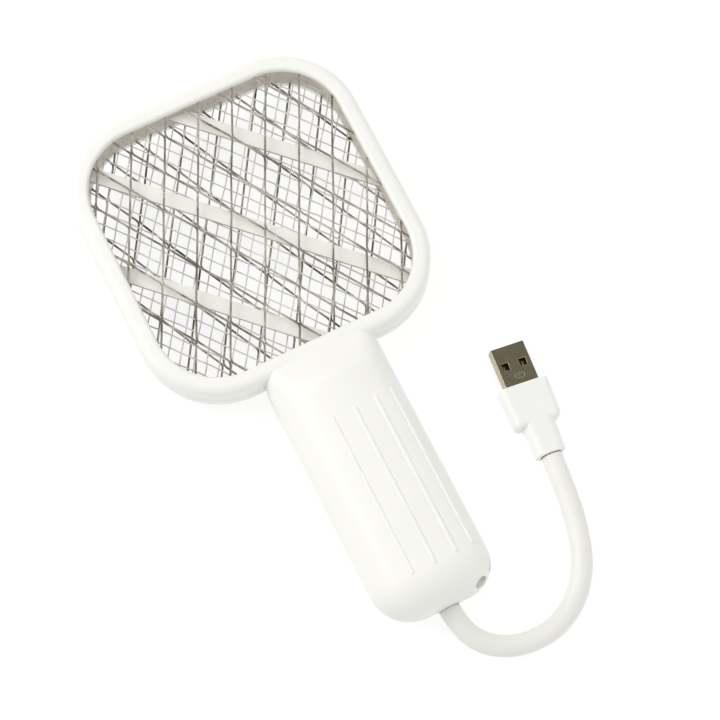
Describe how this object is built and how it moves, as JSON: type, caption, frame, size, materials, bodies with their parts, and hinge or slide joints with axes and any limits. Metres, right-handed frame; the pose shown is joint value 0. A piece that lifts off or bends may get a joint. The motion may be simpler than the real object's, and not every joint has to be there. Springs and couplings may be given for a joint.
{
  "type": "electric fly swatter",
  "caption": "Rechargeable electric fly swatter with a rounded square head of layered wire grids, a stout ribbed handle, a rear push button and a short captive USB charging cord.",
  "frame": {"origin": "middle of the swatter's length and width, on the flat back of the handle, which is what it lies on", "axes": "+Y from the handle's end to the top of the head, +Z out of the front face, +X to the right seen from the front"},
  "size_m": [0.119, 0.2218, 0.0289],
  "materials": {
    "white_shell": "satin moulded ABS, warm white",
    "carrier_white": "natural translucent white plastic",
    "guard_wire": "drawn nickel-plated steel wire",
    "grid_wire": "fine bright steel wire",
    "cell_wrap": "shrink wrapped can",
    "nickel_strip": "spot-welded nickel strip",
    "board_green": "glass-epoxy laminate with solder mask",
    "ferrite": "sintered ferrite, dull",
    "winding": "taped enamelled wire",
    "film_capacitor": "dipped epoxy",
    "black_epoxy": "moulded epoxy",
    "resistor_body": "lacquered",
    "switch_black": "moulded nylon",
    "button_grey": "satin moulded ABS, light grey",
    "led_lens": "tinted clear epoxy",
    "window_clear": "frosted clear acrylic",
    "screw_steel": "zinc plated",
    "lead_red": "extruded PVC",
    "cord_white": "soft extruded TPE, white",
    "gland_grey": "moulded soft TPE, dark grey",
    "plug_white": "overmoulded TPE, white",
    "plug_nickel": "nickel plated stamped steel",
    "plug_tongue": "moulded black insulator",
    "contact_gold": "flash gold"
  },
  "bodies": {
    "swatter": {"front_shell": "white_shell", "lanyard_corner": "white_shell", "rear_shell": "white_shell", "front_guard_mesh": "guard_wire", "rear_guard_mesh": "guard_wire", "high_voltage_grid": "grid_wire", "grid_carrier": "carrier_white", "battery_cell": "cell_wrap", "battery_tabs": "nickel_strip", "circuit_board": "board_green", "board_screws": "screw_steel", "transformer_core": "ferrite", "transformer_winding": "winding", "high_voltage_capacitor": "film_capacitor", "rectifier_diodes": "black_epoxy", "switching_transistor": "black_epoxy", "charge_controller": "black_epoxy", "bleed_resistor": "resistor_body", "tact_switch": "switch_black", "indicator_led": "led_lens", "led_window": "window_clear", "shell_screws": "screw_steel", "grid_leads": "lead_red", "battery_leads": "lead_red", "cord_leads": "lead_red", "usb_cord": "cord_white", "cord_gland": "gland_grey", "usb_overmould": "plug_white", "usb_shell": "plug_nickel", "usb_tongue": "plug_tongue", "usb_contacts": "contact_gold"},
    "button": {"power_button": "button_grey", "tact_plunger": "switch_black"}
  },
  "joints": [
    {"name": "power_button_press", "type": "slide", "parent": "swatter", "child": "button", "axis": [0, 0, 1], "range_m": [0, 0.0009], "stiffness_N_per_m": 1200, "springref_m": -0.0006}
  ]
}
